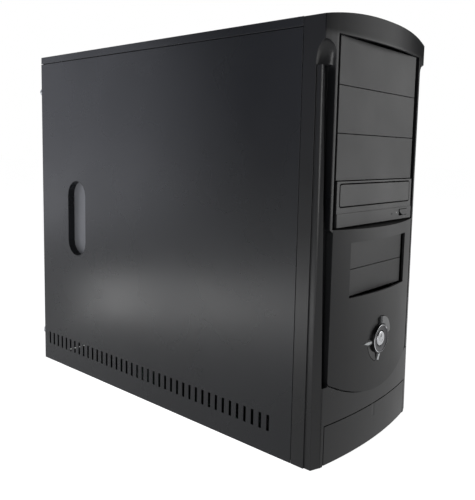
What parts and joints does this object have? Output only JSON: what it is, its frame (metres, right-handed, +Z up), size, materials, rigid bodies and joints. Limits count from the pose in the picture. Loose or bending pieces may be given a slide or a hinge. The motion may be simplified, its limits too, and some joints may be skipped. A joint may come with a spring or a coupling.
{
  "type": "desktop computer tower",
  "caption": "Black desktop computer tower with sheet side panels, a bowed front bezel, drive bays, an optical drive and a ringed power button.",
  "frame": {"origin": "centre of the bounding box, at floor level", "axes": "+Z up, -Y towards the front face, +X towards the right as one faces the front"},
  "size_m": [0.192, 0.4664, 0.4216],
  "materials": {
    "black_steel": "black semi-gloss paint on sheet steel",
    "zinc_steel": "bare zinc-plated sheet",
    "black_plastic": "black moulded plastic, fine grain",
    "gloss_black": "glossy black plastic",
    "silver_metal": "bare light metal",
    "circuit_board": "green fibreglass board",
    "rubber": "black rubber",
    "cable_sheath": "black cable sheath",
    "clear_lamp": "clear light pipe"
  },
  "bodies": {
    "case": {"base_pan": "zinc_steel", "bay_cover_1": "black_plastic", "bay_cover_2": "black_plastic", "bay_cover_3": "black_plastic", "board_power_cable": "cable_sheath", "board_tray": "zinc_steel", "button_board": "circuit_board", "cpu_heatsink": "silver_metal", "disk_cage": "zinc_steel", "disk_lamp": "clear_lamp", "drive_body": "zinc_steel", "drive_cage": "zinc_steel", "drive_data_cable": "cable_sheath", "drive_face": "black_plastic", "exhaust_fan_frame": "black_plastic", "foot_front_left": "rubber", "foot_front_right": "rubber", "foot_rear_left": "rubber", "foot_rear_right": "rubber", "front_bezel": "black_plastic", "front_wall": "zinc_steel", "graphics_card": "circuit_board", "hard_disk": "silver_metal", "lower_blade": "gloss_black", "lower_front_panel": "black_plastic", "mains_inlet": "black_plastic", "memory_module": "circuit_board", "motherboard": "circuit_board", "port_module": "gloss_black", "port_shield": "zinc_steel", "power_lamp": "clear_lamp", "power_ring": "silver_metal", "psu_case": "zinc_steel", "psu_grille": "zinc_steel", "rear_ports": "silver_metal", "rear_wall": "zinc_steel", "slot_cover_1": "zinc_steel", "slot_cover_3": "zinc_steel", "slot_cover_4": "zinc_steel", "slot_cover_5": "zinc_steel", "slot_cover_6": "zinc_steel", "slot_cover_7": "zinc_steel", "small_bay_cover_lower": "black_plastic", "small_bay_cover_upper": "black_plastic", "top_cover": "black_steel"},
    "left_panel": {"left_side_panel": "black_steel"},
    "right_panel": {"right_side_panel": "black_steel"},
    "tray": {"disc_tray": "black_plastic"},
    "eject": {"eject_button": "black_plastic"},
    "power": {"power_button": "silver_metal"},
    "reset": {"reset_button": "black_plastic"},
    "door": {"port_door": "black_plastic"},
    "rocker": {"psu_switch": "gloss_black"},
    "psu_fan": {"psu_fan_rotor": "black_plastic"},
    "exhaust_fan": {"exhaust_fan_rotor": "black_plastic"},
    "cpu_fan": {"cpu_fan_rotor": "black_plastic"},
    "screw_left_lower": {"thumb_screw_left_lower": "zinc_steel"},
    "screw_left_upper": {"thumb_screw_left_upper": "zinc_steel"},
    "screw_right_lower": {"thumb_screw_right_lower": "zinc_steel"},
    "screw_right_upper": {"thumb_screw_right_upper": "zinc_steel"}
  },
  "joints": [
    {"name": "left_panel_slide", "type": "slide", "parent": "case", "child": "left_panel", "axis": [0, 1, 0], "range_m": [0, 0.02]},
    {"name": "right_panel_slide", "type": "slide", "parent": "case", "child": "right_panel", "axis": [0, 1, 0], "range_m": [0, 0.02]},
    {"name": "tray_slide", "type": "slide", "parent": "case", "child": "tray", "axis": [0, -1, 0], "range_m": [0, 0.14]},
    {"name": "eject_press", "type": "slide", "parent": "case", "child": "eject", "axis": [0, 1, 0], "range_m": [0, 0.0012], "stiffness_N_per_m": 600},
    {"name": "power_press", "type": "slide", "parent": "case", "child": "power", "axis": [0, 1, 0], "range_m": [0, 0.0018], "stiffness_N_per_m": 800},
    {"name": "reset_press", "type": "slide", "parent": "case", "child": "reset", "axis": [0, 1, 0], "range_m": [0, 0.0012], "stiffness_N_per_m": 600},
    {"name": "door_hinge", "type": "hinge", "parent": "case", "child": "door", "pos_m": [0, -0.2162, 0.015], "axis": [1, 0, 0], "range_deg": [0, 88]},
    {"name": "rocker_tilt", "type": "hinge", "parent": "case", "child": "rocker", "pos_m": [-0.05, 0.2204, 0.351], "axis": [0, 0, 1], "range_deg": [0, 16]},
    {"name": "psu_fan_spin", "type": "hinge", "parent": "case", "child": "psu_fan", "pos_m": [0.03, 0.2124, 0.365], "axis": [0, 1, 0], "continuous": true},
    {"name": "exhaust_fan_spin", "type": "hinge", "parent": "case", "child": "exhaust_fan", "pos_m": [-0.044, 0.2124, 0.262], "axis": [0, 1, 0], "continuous": true},
    {"name": "cpu_fan_spin", "type": "hinge", "parent": "case", "child": "cpu_fan", "pos_m": [0.0246, 0.1268, 0.257], "axis": [1, 0, 0], "continuous": true},
    {"name": "thumb_screw_left_lower_turn", "type": "hinge", "parent": "left_panel", "child": "screw_left_lower", "pos_m": [-0.0885, 0.2262, 0.045], "axis": [0, 1, 0], "range_deg": [0, 720]},
    {"name": "thumb_screw_left_upper_turn", "type": "hinge", "parent": "left_panel", "child": "screw_left_upper", "pos_m": [-0.0885, 0.2262, 0.37], "axis": [0, 1, 0], "range_deg": [0, 720]},
    {"name": "thumb_screw_right_lower_turn", "type": "hinge", "parent": "right_panel", "child": "screw_right_lower", "pos_m": [0.0885, 0.2262, 0.045], "axis": [0, 1, 0], "range_deg": [0, 720]},
    {"name": "thumb_screw_right_upper_turn", "type": "hinge", "parent": "right_panel", "child": "screw_right_upper", "pos_m": [0.0885, 0.2262, 0.37], "axis": [0, 1, 0], "range_deg": [0, 720]}
  ]
}
